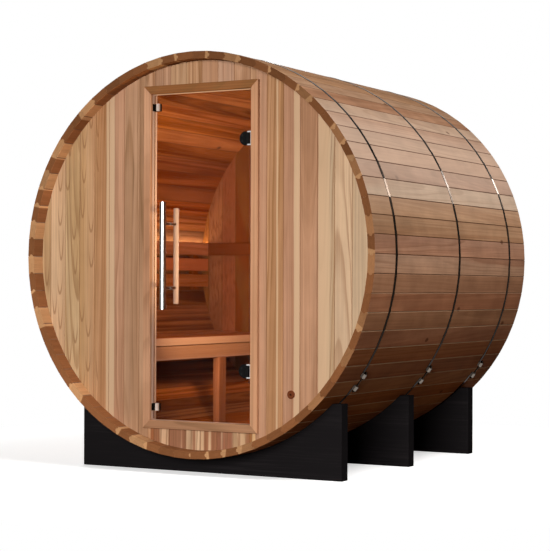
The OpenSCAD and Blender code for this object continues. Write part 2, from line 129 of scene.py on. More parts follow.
class SaunaColours(PropertyGroup):
    straw: colour("Straw", "Pale boards near the ends of a wall", (0.545, 0.36, 0.218))
    straw_deep: colour("Deep straw", "Darker bands of the pale boards", (0.43, 0.255, 0.135))
    rose: colour("Rose", "Boards near the doorway", (0.44, 0.235, 0.138))
    rose_deep: colour("Deep rose", "Darker bands of the boards near the doorway", (0.34, 0.168, 0.09))
    sap: colour("Sapwood", "Cream edge of a board", (0.56, 0.38, 0.235))
    late: colour("Growth line", "Dark lines of the grain", (0.21, 0.095, 0.04))
    stave: colour("Stave", "Outside of the staves", (0.46, 0.265, 0.165))
    stave_deep: colour("Deep stave", "Darker bands of the staves", (0.35, 0.185, 0.11))
    end_grain: colour("End grain", "Ends of the staves", (0.165, 0.064, 0.025))
    end_pale: colour("Pale end grain", "Ends of the paler staves", (0.38, 0.20, 0.093))
    inside: colour("Inside", "Staves on the inside", (0.43, 0.168, 0.060))
    inside_deep: colour("Deep inside", "Darker bands of the staves on the inside", (0.17, 0.043, 0.012))
    trim: colour("Trim", "Sides of the casing", (0.50, 0.265, 0.14))
    trim_dark: colour("Dark trim", "Head and foot of the casing", (0.30, 0.125, 0.056))
    lining: colour("Lining", "Boards that line the doorway", (0.56, 0.40, 0.32))
    back: colour("Back wall", "Inside of the back wall", (0.215, 0.050, 0.0165))
    back_deep: colour("Deep back wall", "Darker bands of the back wall's inside", (0.12, 0.024, 0.0078))
    post: colour("Post", "Leg and uprights", (0.36, 0.105, 0.037))
    rail: colour("Rail", "Bearers and the rail on the back wall", (0.18, 0.044, 0.0095))
    apron: colour("Apron", "Apron of the bench", (0.41, 0.19, 0.12))
    seat: colour("Seat", "Seat slats", (0.47, 0.165, 0.07))
    # A painted highlight on the seat's front edge
    seat_edge_highlight: colour("Seat edge", "Worn front edge of the seat", (0.52, 0.29, 0.19))
    slat: colour("Back slat", "Slats of the backrest", (0.51, 0.175, 0.078))
    knot: colour("Knot", "Knots and dark joints", (0.11, 0.045, 0.022))
    black_timber: colour("Cradle", "Stained cradles", (0.010, 0.0088, 0.0095))
    black_grain: colour("Cradle grain", "Grain of the stained cradles", (0.02, 0.017, 0.018))
    grip: colour("Grip", "Wooden grip inside the door", (0.315, 0.21, 0.175))
    # The bands' near-black is a painted reflection: polished steel mirroring dark surroundings
    steel: colour("Steel", "Bands round the staves", (0.018, 0.012, 0.008))
    # The lugs' dark tone is a painted reflection of dark surroundings
    lug: colour("Lugs", "Lugs that hold the tension screws", (0.16, 0.14, 0.12))
    bright: colour("Bright metal", "Handle, plates and brackets", (0.62, 0.61, 0.60))
    black: colour("Black metal", "Hinge clamps and magnets", (0.006, 0.006, 0.006))
    glass: colour("Glass", "Tone of the door glass", (0.97, 0.90, 0.82))
    grommet: colour("Grommet", "Cable grommet", (0.14, 0.036, 0.012))
    glow: colour("Glow", "Light strip and cabin light", (1.0, 0.84, 0.56))
    floor: colour("Floor", "Studio floor", (0.9, 0.9, 0.9))


class SaunaStage(PropertyGroup):
    eye: FloatVectorProperty(name="Eye", description="Where the camera stands", subtype="XYZ", unit="LENGTH",
                             size=3, default=(4.1203, -7.4405, 0.8717))
    yaw: angle("Yaw", "Turn of the camera toward the right side", 29.3608)
    pitch: angle("Pitch", "Downward tilt of the camera", -0.4714)
    roll: angle("Roll", "Roll of the camera", 0.1916)
    lens: FloatProperty(name="Lens", description="Focal length on a 36 mm sensor", default=107.88, min=10)
    key: power("Key", "Power of the front lamp", 720)
    side: power("Side", "Power of the lamp to the upper right", 390)
    spark: power("Spark", "Power of the small lamp behind on the right", 260)
    rear: power("Rear", "Power of the lamp behind on the left", 560)
    cabin: power("Cabin", "Power of the lamp inside", 15.5)
    strip: power("Strip", "Strength of the light strip", 24)
    fill: power("Fill", "Even light from all round", 0.05)


def settings():
    scene = bpy.context.scene
    return scene.sauna_sizes, scene.sauna_colours, scene.sauna_stage


# Shader graphs

class Graph:
    """Short calls for building a node tree."""

    def __init__(self, tree):
        self.tree = tree

    def node(self, kind, **settings):
        made = self.tree.nodes.new(kind)
        for key, value in settings.items():
            setattr(made, key, value)
        return made

    def feed(self, socket, value):
        if isinstance(value, bpy.types.NodeSocket):
            self.tree.links.new(value, socket)
        elif isinstance(value, (int, float)):
            socket.default_value = value
        else:
            value = tuple(value)
            size = len(socket.default_value)
            socket.default_value = value if len(value) == size else value + (1.0,)

    def fill(self, made, *values):
        """Feeds a node's inputs in order and returns its first output."""
        for socket, value in zip(made.inputs, values):
            self.feed(socket, value)
        return made.outputs[0]

    def math(self, operation, *values):
        return self.fill(self.node("ShaderNodeMath", operation=operation), *values)

    def add(self, a, b):
        return self.math("ADD", a, b)

    def sub(self, a, b):
        return self.math("SUBTRACT", a, b)

    def mul(self, a, b):
        return self.math("MULTIPLY", a, b)

    def div(self, a, b):
        return self.math("DIVIDE", a, b)

    def line(self, a, slope, start):
        return self.math("MULTIPLY_ADD", a, slope, start)

    def flip(self, a):
        return self.sub(1.0, a)

    def swing(self, a, reach):
        """Spreads a value of nought to one evenly about nought."""
        return self.mul(self.sub(a, 0.5), reach)

    def floor(self, a):
        return self.math("FLOOR", a)

    def fract(self, a):
        return self.math("FRACT", a)

    def size(self, a):
        return self.math("ABSOLUTE", a)

    def most(self, a, b):
        return self.math("MAXIMUM", a, b)

    def under(self, a, b):
        return self.math("LESS_THAN", a, b)

    def over(self, a, b):
        return self.math("GREATER_THAN", a, b)

    def hypot(self, a, b):
        return self.math("SQRT", self.line(a, a, self.mul(b, b)))

    def choose(self, test, yes, no):
        return self.add(self.mul(test, yes), self.mul(self.flip(test), no))

    def smooth(self, value, low, high):
        made = self.node("ShaderNodeMapRange", interpolation_type="SMOOTHSTEP")
        return self.fill(made, value, low, high, 0.0, 1.0)

    def fade(self, value, low, high):
        return self.flip(self.smooth(value, low, high))

    def vector(self, *values):
        return self.fill(self.node("ShaderNodeCombineXYZ"), *values)

    def grey(self, value):
        return self.vector(value, value, value)

    def axes(self, vector):
        parts = self.node("ShaderNodeSeparateXYZ")
        self.feed(parts.inputs[0], vector)
        return parts.outputs[:3]

    def channels(self, tone):
        parts = self.node("ShaderNodeSeparateColor")
        self.feed(parts.inputs[0], tone)
        return parts.outputs[:3]

    def place(self):
        """X, Y and Z of a point at rest."""
        return self.axes(self.node("ShaderNodeTexCoord").outputs["Object"])

    def facing(self):
        """X, Y and Z of the way a surface faces."""
        return self.axes(self.node("ShaderNodeNewGeometry").outputs["Normal"])

    def noise(self, *spans, detail=2.0, roughness=0.5):
        """Noise over three values: each a value with its cells a metre, or a value as it is."""
        made = self.node("ShaderNodeTexNoise")
        at = [self.mul(*span) if isinstance(span, tuple) else span for span in spans]
        self.feed(made.inputs["Vector"], self.vector(*at))
        self.feed(made.inputs["Scale"], 1.0)
        self.feed(made.inputs["Detail"], detail)
        self.feed(made.inputs["Roughness"], roughness)
        return made.outputs[0]

    def chance(self, seed):
        """Three values of nought to one that hold for one seed."""
        made = self.node("ShaderNodeTexWhiteNoise", noise_dimensions="1D")
        self.feed(made.inputs["W"], seed)
        return self.channels(made.outputs["Color"])

    def mix(self, amount, a, b, blend="MIX"):
        made = self.node("ShaderNodeMix", data_type="RGBA", blend_type=blend, clamp_factor=True)
        for name, value in (("Factor_Float", amount), ("A_Color", a), ("B_Color", b)):
            self.feed(next(s for s in made.inputs if s.identifier == name), value)
        return next(s for s in made.outputs if s.identifier == "Result_Color")

    def tint(self, tone, by):
        return self.mix(1.0, tone, by, "MULTIPLY")

    def bump(self, height, strength, distance):
        made = self.node("ShaderNodeBump")
        self.feed(made.inputs["Height"], height)
        self.feed(made.inputs["Strength"], strength)
        self.feed(made.inputs["Distance"], distance)
        return made.outputs[0]

    def blend(self, amount, a, b):
        return self.fill(self.node("ShaderNodeMixShader"), amount, a, b)

    def show(self, surface):
        out = next(n for n in self.tree.nodes if n.type == "OUTPUT_MATERIAL")
        self.feed(out.inputs["Surface"], surface)


def new_material(name):
    made = bpy.data.materials.new(name)
    made.use_nodes = True
    tree = made.node_tree
    shader = next(n for n in tree.nodes if n.type == "BSDF_PRINCIPLED")
    return made, Graph(tree), shader


def dimmed(tone, share):
    return tuple(share * c for c in tone)


def timber(g, across, along, depth, seed, light, deep, sap, line, sap_share=0.35, pitch=0.008, lines=0.55,
           sway=0.03, spread=0.16, blotch=0.2, streaks=0.5, hues=0.012):
    """Solid wood with growth rings about a pith that lies off the board, and a paler sapwood side.

    Returns colour, roughness and height."""
    r1, r2, r3 = g.chance(seed)
    r4, r5, r6 = g.chance(g.add(seed, 37.3))
    bend = g.swing(g.noise((across, 3.0), (along, 1.3), (seed, 3.17)), sway)
    lean = g.mul(g.swing(r3, PITH_LEAN), along)
    tilt = g.mul(g.swing(r6, PITH_TILT), along)
    off_a = g.add(g.sub(g.sub(across, g.swing(r1, PITH_SIDE)), lean), bend)
    off_d = g.add(g.add(depth, tilt), g.add(g.line(r2, PITH_RANGE, PITH_NEAR), g.mul(bend, 0.4)))
    ring = g.hypot(off_a, off_d)
    # Growth lines, dark toward the outside of each ring and strong in patches
    band = g.noise((ring, 60.0), (along, 0.4), (seed, 1.9), detail=3.0, roughness=0.6)
    ripple = g.noise((ring, 70.0), (along, 1.5), seed)
    phase = g.fract(g.line(ripple, 1.1, g.div(ring, pitch)))
    late = g.mul(g.smooth(phase, 0.45, 0.9), g.fade(phase, 0.9, 1.0))
    patch = g.noise((ring, 16.0), (along, 0.7), g.add(seed, 5.1), detail=1.0)
    late_amount = g.mul(g.mul(late, lines), g.smooth(patch, 0.3, 0.75))
    # Fine fibre, long streaks and broad figure
    fibre = g.noise((across, 380.0), (along, 6.0), (depth, 380.0))
    streak = g.noise((across, 130.0), (along, 0.8), (seed, 2.3), detail=3.0, roughness=0.6)
    figure = g.noise((across, 7.0), (along, 6.0), (seed, 1.7), detail=3.0, roughness=0.55)
    sap_edge = g.line(r5, 0.085, 0.05)
    sap_part = g.mul(g.under(r4, sap_share), g.smooth(g.sub(ring, sap_edge), 0.0, 0.012))
    tone = g.mix(g.smooth(band, 0.3, 0.7), deep, light)
    tone = g.mix(g.mul(sap_part, 0.8), tone, sap)
    tone = g.mix(late_amount, tone, line)
    level = g.line(g.sub(r6, 0.5), spread, 1.0)
    for part, amount in ((fibre, 0.22), (streak, streaks), (figure, blotch)):
        level = g.add(level, g.swing(part, amount))
    shift = g.node("ShaderNodeHueSaturation")
    g.feed(shift.inputs["Hue"], g.line(g.sub(r3, 0.5), hues, 0.5))
    g.feed(shift.inputs["Saturation"], g.line(r1, 0.16, 0.92))
    g.feed(shift.inputs["Value"], level)
    g.feed(shift.inputs["Color"], tone)
    return shift.outputs[0], g.line(fibre, 0.22, 0.5), g.line(late, 0.5, fibre)


def finish_wood(g, shader, tone, rough, height, gloss=0.003):
    g.feed(shader.inputs["Base Color"], tone)
    g.feed(shader.inputs["Roughness"], rough)
    g.feed(shader.inputs["Normal"], g.bump(height, strength=0.25, distance=0.0006))
    shader.inputs["Specular IOR Level"].default_value = gloss


def dress(names, material):
    for name in names:
        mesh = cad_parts[name].data
        mesh.materials.clear()
        mesh.materials.append(material)


def barrel():
    """Height of the barrel's middle, and its outer and inner radius at the staves' flats."""
    sizes = settings()[0]
    low = min(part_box(n)[0].z for n in STAVES)
    high = max(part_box(n)[1].z for n in STAVES)
    flat = (high - low) / 2 * math.cos(math.pi / sizes.stave_count)
    return (low + high) / 2, flat, flat - sizes.stave_t


# Materials

def stave_wood():
    sizes, tones, _ = settings()
    middle, outer, inner = barrel()
    step = 2 * math.pi / sizes.stave_count
    made, g, shader = new_material("stave_wood")
    x, y, z = g.place()
    leftward = g.mul(x, -1.0)
    rise = g.sub(z, middle)
    turn = g.math("ARCTAN2", x, rise)
    radius = g.hypot(x, rise)

    def rising(low, high):
        """Nought to one between two heights over the middle, given as shares of the radius."""
        return g.smooth(rise, low * outer, high * outer)

    # The stave that a point is in: a bead belongs to the stave before its seam
    count = g.div(turn, step)
    seam = g.math("ROUND", count)
    aside = g.mul(g.mul(g.sub(count, seam), step), radius)
    bead_off = g.hypot(aside, g.sub(radius, (outer + inner) / 2))
    number = g.choose(g.under(bead_off, sizes.bead_r), g.sub(seam, 1.0), g.floor(count))
    across = g.mul(g.mul(g.sub(g.sub(count, number), 0.5), step), outer)
    depth = g.sub(radius, outer)
    seed = g.add(number, 100.5)
    front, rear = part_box("front_wall_left"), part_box("back_wall")
    room = g.mul(g.over(y, front[1].y - NEAR), g.under(y, rear[0].y + NEAR))
    inner_skin, shell_depth = 0.012, 0.02
    cabin = g.mul(room, g.under(radius, inner + inner_skin))
    shell = g.over(radius, inner + shell_depth)
    tone, rough, height = timber(
        g, across, y, depth, seed, g.mix(cabin, tones.stave, tones.inside),
        g.mix(cabin, tones.stave_deep, tones.inside_deep), g.mix(cabin, STAVE_SAP, CABIN_SAP), tones.late,
        sap_share=0.2, pitch=0.011, lines=0.4, sway=0.015,
        spread=g.choose(cabin, 0.85, 0.16), blotch=g.choose(cabin, 0.45, 0.65),
        streaks=g.choose(cabin, 0.3, 0.5), hues=g.choose(cabin, 0.003, 0.012))
    # Inside, painted light and shade: the ceiling is painted lighter, the wall beneath it painted in shade
    # and redder, and the staves under the bench painted dark as the bench's shadow; the staves low down and
    # the floor are tinted redder
    upper = rising(0.52, 0.68)
    between = g.mul(rising(0.15, 0.32), g.flip(upper))
    apron_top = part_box("bench_apron")[1].z - middle
    # Painted shadow of the bench on the staves under it
    under = g.mul(g.smooth(leftward, 0.57, 0.7), g.under(rise, apron_top))
    foot = g.flip(rising(-0.6, -0.4))
    fair = g.smooth(g.chance(g.add(seed, 37.3))[2], 0.55, 0.95)
    tint = g.mix(rising(0.0, 0.12), LOW_SIDE, PLAIN)
    tint = g.mix(upper, tint, g.mix(fair, LIT_CEILING, LIT_FAIR_CEILING))
    tint = g.mix(between, tint, SHADED_SHOULDER)
    tint = g.mix(foot, tint, FOOTING)
    tint = g.mix(under, tint, BENCH_SHADOW)
    tone = g.mix(cabin, tone, g.tint(tone, tint))
    # Knots, sparse and stretched a little along the stave
    cells = g.node("ShaderNodeTexVoronoi", voronoi_dimensions="2D")
    g.feed(cells.inputs["Vector"], g.vector(g.mul(turn, outer * 2.6), g.mul(y, 1.6), 0.0))
    g.feed(cells.inputs["Scale"], 1.0)
    kept = g.over(g.channels(cells.outputs["Color"])[0], 0.55)
    ragged = g.noise((turn, outer * 60), (y, 45.0), 0.0)
    gap = g.line(ragged, 0.02, cells.outputs["Distance"])
    spot = g.mul(kept, g.fade(gap, 0.026, 0.05))
    tone = g.mix(g.mul(spot, 0.8), tone, tones.knot)
    # Painted shade darkens the upper staves and makes the lower ones redder and darker toward the bottom,
    # and a painted sheen pales those between; from about the middle up, short of the top, the staves are
    # also lighter toward the back and darker toward the front
    top_shade = g.mul(rising(0.57, 0.88), shell)
    tone = g.tint(tone, g.mix(top_shade, PLAIN, TOP_SHADE))
    toward_back = g.mul(g.mul(rising(-0.1, 0.15), g.sub(shell, top_shade)), g.mul(y, 0.22))
    tone = g.tint(tone, g.grey(g.add(toward_back, 1.0)))
    # A painted sheen, a paler band between the middle and the top
    sheen_band = g.mul(g.mul(rising(0.15, 0.45), shell), g.flip(rising(0.58, 0.74)))
    tone = g.mix(g.mul(sheen_band, 0.4), tone, PAINTED_SHEEN)
    low_shade = g.mul(g.flip(rising(-0.1, 0.2)), shell)
    tone = g.tint(tone, g.mix(low_shade, PLAIN, LOW_SHADE))
    bottom_shade = g.mul(g.flip(rising(-0.7, -0.15)), shell)
    tone = g.tint(tone, g.mix(bottom_shade, PLAIN, BOTTOM_SHADE))
    # Dark joints, and on the lower staves joints painted pale, a painted highlight on the arrises
    joint = g.fade(g.size(aside), 0.0012, 0.0036)
    arris_highlight = g.mul(g.flip(rising(-0.35, 0.0)), shell)
    joint_tone = g.mix(arris_highlight, tones.knot, tones.sap)
    tone = g.mix(g.mul(joint, g.choose(cabin, 0.5, 0.7)), tone, joint_tone)
    # Ends of the staves, and the lip that stands out past the front wall
    ends = g.over(g.size(g.facing()[1]), 0.9)
    lip = g.mul(g.under(y, front[0].y), g.under(radius, inner + NEAR))
    _, p2, p3 = g.chance(g.add(seed, 11.7))
    # Some ends are pale all over, fewer to the right, and some only along one edge
    whole = g.over(g.fract(g.line(seed, 0.3933, 0.53)), 0.7)
    whole = g.mul(whole, g.line(g.smooth(x, -0.2, 0.5), -0.5, 0.85))
    slope = g.mul(g.sub(p3, 0.5), depth)
    partly = g.mul(g.over(p2, 0.5), g.smooth(g.add(across, slope), 0.026, 0.033))
    cut = g.mix(g.add(whole, partly), tones.end_grain, tones.end_pale)
    speck = g.noise((across, 420.0), (depth, 420.0), seed)
    arcs = g.noise((across, 40.0), (depth, 150.0), seed)
    grain = g.choose(lip, g.noise((across, 160.0), (y, 9.0), seed, detail=3.0), speck)
    shade = g.add(g.line(grain, 0.5, 0.4), g.line(arcs, 0.4, g.mul(p3, 0.4)))
    # They are painted darker toward the top and the right, a painted shade, and the lip is painted lighter
    # at its upper left, a painted light
    shade = g.mul(shade, g.line(rising(-1, 1), -0.45, g.line(x, -0.14, 1.25)))
    lit = g.mul(g.mul(lip, g.smooth(leftward, 0.0, 0.5)), g.smooth(rise, 0.0, 0.4))
    shade = g.mul(shade, g.line(lit, 0.8, 1.0))
    tone = g.mix(g.most(ends, lip), tone, g.tint(cut, g.grey(shade)))
    finish_wood(g, shader, tone, rough, height, gloss=0.004)
    return made


def wall_boards():
    sizes, tones, _ = settings()
    lining, front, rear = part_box("door_lining"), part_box("front_wall_left"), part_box("back_wall")
    middle = (lining[0].x + lining[1].x) / 2
    made, g, shader = new_material("wall_boards")
    x, y, z = g.place()
    count = g.div(g.sub(x, middle), sizes.board_w)
    number = g.floor(count)
    across = g.mul(g.sub(g.sub(count, number), 0.5), sizes.board_w)
    back = g.over(y, 0.0)
    ahead = g.flip(back)
    indoors = g.mul(back, g.under(y, (rear[0].y + rear[1].y) / 2))
    doorway = g.under(g.size(g.sub(x, middle)), (lining[1].x - lining[0].x) / 2 + NEAR)
    doorway = g.mul(doorway, ahead)
    low = g.mul(doorway, g.under(z, lining[0].z))
    high = g.mul(doorway, g.over(z, lining[1].z))
    seed = g.add(number, 40.5)
    for part, apart in ((low, 71.0), (high, 133.0), (back, 211.0)):
        seed = g.add(seed, g.mul(part, apart))
    # Straw boards toward the sides, rose ones between, and red ones on the inside of the back wall
    edge = g.most(g.smooth(g.mul(x, -1.0), 0.55, 0.69), g.smooth(x, 0.66, 0.7))
    pale = g.mul(g.most(edge, g.mul(high, 0.35)), g.flip(g.mul(indoors, 0.7)))
    light = g.mix(pale, tones.rose, tones.straw)
    deep = g.mix(pale, tones.rose_deep, tones.straw_deep)
    light = g.mix(g.smooth(x, 0.6, 0.7), light, g.tint(light, PALE_RIGHT))
    warm = g.mul(indoors, 0.95)
    light = g.mix(warm, light, tones.back)
    deep = g.mix(warm, deep, tones.back_deep)
    # Painted light: the boards at the left end of the back wall's inside are lighter
    side = g.mul(indoors, g.under(x, middle - 9 * sizes.board_w))
    light = g.mix(side, light, tones.inside)
    deep = g.mix(side, deep, tones.inside_deep)
    # Under the doorway, dark and pale stripes by turns
    stripe = g.smooth(g.noise((x, 19.0), (z, 0.6), 3.3, detail=1.0), 0.46, 0.55)
    stripe = g.mix(stripe, SILL_DARK, SILL_PALE)
    light = g.mix(low, light, stripe)
    deep = g.mix(low, deep, g.tint(stripe, SILL_DEEP))
    sap = g.mix(warm, tones.sap, g.mix(side, BACK_SAP, BACK_SIDE_SAP))
    face = g.choose(g.sub(back, indoors), rear[0].y, front[0].y)
    tone, rough, height = timber(
        g, across, z, g.sub(y, face), seed, light, deep, sap, tones.late,
        sap_share=g.mul(pale, 0.35), pitch=0.011, lines=0.7, sway=0.03, spread=0.1,
        blotch=g.choose(indoors, 0.5, 0.25), streaks=0.8)
    # Cream edges of some boards beside the door
    soft = 0.003
    wave = g.add(x, g.swing(g.noise((z, 0.9), 4.1, 0.0), 0.02))
    for start, stop in CREAM_EDGES:
        cream = g.mul(g.smooth(wave, start - soft, start + soft), g.fade(wave, stop - soft, stop + soft))
        tone = g.mix(g.mul(g.mul(cream, ahead), 0.75), tone, tones.sap)
    # Tips of the growth lines, as small hooks down the pale boards on the left
    hook_pitch = 0.17
    tall = g.add(g.div(z, hook_pitch), g.mul(g.chance(g.add(seed, 3.3))[0], 5.0))
    pale_left = g.mul(g.under(x, -0.58), ahead)
    for start, shift in ((-0.022, 0.0), (0.019, 0.43)):
        step = g.add(tall, shift)
        h1, h2, h3 = g.chance(g.add(g.add(seed, g.mul(g.floor(step), 13.7)), shift))
        aside = g.size(g.sub(across, g.line(g.sub(h1, 0.5), 0.02, start)))
        steep = g.mul(aside, g.line(h2, 350.0, 250.0))
        past = g.size(g.sub(g.mul(g.fract(step), hook_pitch), g.line(steep, aside, 0.03)))
        past = g.div(past, g.line(steep, 0.005, 0.006))
        hook = g.mul(g.fade(past, 0.5, 1.5), g.fade(aside, 0.008, 0.02))
        hook = g.mul(g.mul(hook, g.over(h3, 0.42)), pale_left)
        tone = g.mix(g.mul(hook, 0.55), tone, tones.late)
    # Thin shadow in each joint, and flecks on the inside of the back wall
    joint = g.over(g.size(across), sizes.board_w / 2 - 0.0018)
    tone = g.mix(g.mul(joint, 0.5), tone, tones.late)
    fleck = g.smooth(g.noise((x, 110.0), (z, 26.0), 7.7), 0.54, 0.66)
    tone = g.mix(g.mul(g.mul(fleck, indoors), 0.6), tone, tones.inside_deep)
    finish_wood(g, shader, tone, rough, height)
    return made


def trim_wood():
    _, tones, _ = settings()
    low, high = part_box("door_casing")
    made, g, shader = new_material("trim_wood")
    x, y, z = g.place()
    from_x, from_z = g.sub(x, (low.x + high.x) / 2), g.sub(z, (low.z + high.z) / 2)
    out_x = g.sub(g.size(from_x), (high.x - low.x) / 2)
    out_z = g.sub(g.size(from_z), (high.z - low.z) / 2)
    upright = g.over(out_x, out_z)
    along = g.choose(upright, z, x)
    across = g.choose(upright, out_x, out_z)
    side = g.choose(upright, g.over(from_x, 0.0), g.add(2.0, g.over(from_z, 0.0)))
    inner = g.over(y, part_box("door_lining")[0].y)
    seed = g.add(g.add(side, 300.5), g.mul(inner, 7.0))
    # The head and the foot of the casing are darker, and the lining is pale
    dark = g.choose(upright, 0.0, g.choose(g.over(from_z, 0.0), 1.0, 0.62))
    dark = g.mul(g.flip(inner), dark)
    light = g.mix(inner, g.mix(dark, tones.trim, tones.trim_dark), tones.lining)
    deep = g.tint(light, TRIM_DEEP)
    tone, rough, height = timber(g, across, along, y, seed, light, deep, light, tones.late,
                                 sap_share=0.2, pitch=0.006, lines=0.75, streaks=0.8)
    finish_wood(g, shader, tone, rough, height)
    return made


def bench_wood(name, run, seed, light, streaks=0.5):
    """Wood of the bench, with its grain along the axis named by run."""
    sizes, tones, _ = settings()
    light = tuple(light)
    deep = tuple(c * f for c, f in zip(light, BENCH_DEEP))
    seat, apron_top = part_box("bench_seat")[1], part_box("bench_apron")[1].z
    made, g, shader = new_material(name)
    x, y, z = g.place()
    if run == "Y":
        column = g.floor(g.div(g.sub(x, seat.x), sizes.slat_pitch))
        row = g.floor(g.div(g.sub(z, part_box("backrest_slats")[0].z), sizes.row_pitch))
        across, along, depth = g.add(x, z), y, g.sub(z, x)
        pick = g.add(g.add(column, g.mul(row, 7.0)), seed)
    else:
        across, along, depth = (z, x, y) if run == "X" else (y, z, x)
        pick = g.add(g.floor(g.mul(y, 2.0)), seed)
    tone, rough, height = timber(g, across, along, depth, pick, light, deep, light, tones.late,
                                 sap_share=0.25, pitch=0.009, lines=0.35, streaks=streaks)
    # Painted shadow in the gap between seat and apron
    seam = g.under(g.size(g.sub(z, apron_top)), 0.003)
    tone = g.mix(g.mul(seam, 0.85), tone, tones.knot)
    # The seat's front edge is painted pale, a painted highlight where it catches the light
    worn = g.mul(g.smooth(x, seat.x - 0.02, seat.x - 0.003), g.over(z, apron_top + 0.002))
    tone = g.mix(g.mul(worn, 0.8), tone, tones.seat_edge_highlight)
    finish_wood(g, shader, tone, rough, height)
    return made


def grip_wood():
    _, tones, _ = settings()
    made, g, shader = new_material("grip_wood")
    x, y, z = g.place()
    tone, rough, height = timber(g, x, z, y, 407.5, tones.grip, tones.grip, tones.lining, tones.late,
                                 sap_share=0.3, pitch=0.005, lines=0.3)
    finish_wood(g, shader, tone, rough, height)
    return made


def black_timber():
    _, tones, _ = settings()
    made, g, shader = new_material("black_timber")
    x, y, z = g.place()
    grain = g.noise((x, 2.2), (y, 160.0), (z, 160.0), detail=4.0, roughness=0.6)
    wear = g.noise((x, 3.0), (y, 3.0), (z, 9.0), detail=3.0)
    worn = g.mul(g.smooth(grain, 0.45, 0.75), g.smooth(wear, 0.3, 0.7))
    g.feed(shader.inputs["Base Color"], g.mix(worn, tones.black_timber, tones.black_grain))
    g.feed(shader.inputs["Roughness"], g.line(grain, 0.2, 0.42))
    g.feed(shader.inputs["Normal"], g.bump(grain, strength=0.3, distance=0.0006))
    shader.inputs["Specular IOR Level"].default_value = 0.0
    return made


def metal(name, tone, rough, metallic, brush, gloss=0.5, edge=PLAIN):
    """Metal with a fine drawn grain along the axis named by brush."""
    made, g, shader = new_material(name)
    x, y, z = g.place()
    fine, drawn_out = 900.0, 4.0
    drawn = g.noise(*[(v, drawn_out if axis == brush else fine) for axis, v in zip("XYZ", (x, y, z))])
    smear = g.noise((x, 14.0), (y, 14.0), (z, 14.0), detail=3.0)
    g.feed(shader.inputs["Base Color"], g.mix(g.smooth(smear, 0.2, 0.9), tone, dimmed(tone, 0.82)))
    g.feed(shader.inputs["Roughness"], g.line(smear, 0.08, g.line(drawn, 0.05, rough)))
    g.feed(shader.inputs["Normal"], g.bump(drawn, strength=0.04, distance=0.0002))
    shader.inputs["Metallic"].default_value = metallic
    shader.inputs["Specular IOR Level"].default_value = gloss
    g.feed(shader.inputs["Specular Tint"], edge)
    return made


def door_glass():
    _, tones, _ = settings()
    made, g, shader = new_material("door_glass")
    x, y, z = g.place()
    film = g.noise((x, 5.0), (y, 5.0), (z, 3.0), detail=3.0)
    low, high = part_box("door_glass")
    skin = 0.0005
    rim = g.most(g.under(x, low.x + skin), g.over(x, high.x - skin))
    rim = g.most(rim, g.most(g.under(z, low.z + skin), g.over(z, high.z - skin)))
    tone = g.mix(film, tones.glass, dimmed(tones.glass, 0.97))
    g.feed(shader.inputs["Base Color"], g.mix(rim, tone, GLASS_RIM))
    g.feed(shader.inputs["Roughness"], g.mul(film, 0.012))
    shader.inputs["Transmission Weight"].default_value = 1.0
    shader.inputs["IOR"].default_value = 1.1
    # Light passes the pane unbent
    path = g.node("ShaderNodeLightPath")
    clear = g.node("ShaderNodeBsdfTransparent")
    g.feed(clear.inputs["Color"], dimmed(tones.glass, 0.8))
    g.show(g.blend(path.outputs["Is Shadow Ray"], shader.outputs[0], clear.outputs[0]))
    return made


def light_strip():
    _, tones, stage = settings()
    made, g, shader = new_material("light")
    _, y, _ = g.place()
    beads = g.size(g.math("SINE", g.mul(y, 120.0)))
    g.feed(shader.inputs["Base Color"], g.mix(beads, (0.9, 0.75, 0.5), (1.0, 0.9, 0.7)))
    g.feed(shader.inputs["Emission Color"], g.mix(beads, tones.glow, (1.0, 0.95, 0.72)))
    # Only the upper face shines
    g.feed(shader.inputs["Emission Strength"], g.mul(g.over(g.facing()[2], 0.5), stage.strip))
    shader.inputs["Roughness"].default_value = 0.5
    return made


def grommet():
    _, tones, _ = settings()
    made, g, shader = new_material("grommet")
    x, y, z = g.place()
    pores = g.noise((x, 300.0), (y, 300.0), (z, 300.0))
    g.feed(shader.inputs["Base Color"], g.mix(pores, dimmed(tones.grommet, 0.8), tones.grommet))
    g.feed(shader.inputs["Roughness"], g.line(pores, 0.2, 0.4))
    g.feed(shader.inputs["Normal"], g.bump(pores, strength=0.15, distance=0.0004))
    shader.inputs["Specular IOR Level"].default_value = 0.05
    return made


# Small pieces

def new_piece(name, form, material):
    """Makes an object of the scene from a bmesh."""
    mesh = bpy.data.meshes.new(name)
    form.to_mesh(mesh)
    form.free()
    mesh.materials.append(material)
    piece = bpy.data.objects.new(name, mesh)
    bpy.context.scene.collection.objects.link(piece)
    return piece


def screw_heads(name, places, radius, out, material, body):
    """Domed screw heads with a hexagon recess, each at a point and facing out."""
    sides, recess, top, bottom = 24, 0.4, 0.36, 0.05
    turns = [2 * math.pi * k / sides for k in range(sides)]
    rings = []
    for reach, rise in ((1.0, 0.0), (0.92, 0.28), (0.5, top)):
        rings.append([(reach * math.cos(a), reach * math.sin(a), rise) for a in turns])
    for rise in (top, bottom):
        flats = []
        for a in turns:
            reach = recess * math.cos(math.pi / 6) / math.cos((a % (math.pi / 3)) - math.pi / 6)
            flats.append((reach * math.cos(a), reach * math.sin(a), rise))
        rings.append(flats)
    form = bmesh.new()
    turn = Vector((0, 0, 1)).rotation_difference(Vector(out)).to_matrix().to_4x4()
    for at in places:
        loops = [[form.verts.new([radius * c for c in p]) for p in ring] for ring in rings]
        for lower, upper in zip(loops, loops[1:]):
            for k in range(sides):
                after = (k + 1) % sides
                form.faces.new((lower[k], lower[after], upper[after], upper[k]))
        form.faces.new(loops[-1])
        form.faces.new(loops[0][::-1])
        made = [v for loop in loops for v in loop]
        bmesh.ops.transform(form, matrix=Matrix.Translation(Vector(at)) @ turn, verts=made)
    piece = new_piece(name, form, material)
    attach(piece, body)


# Operators

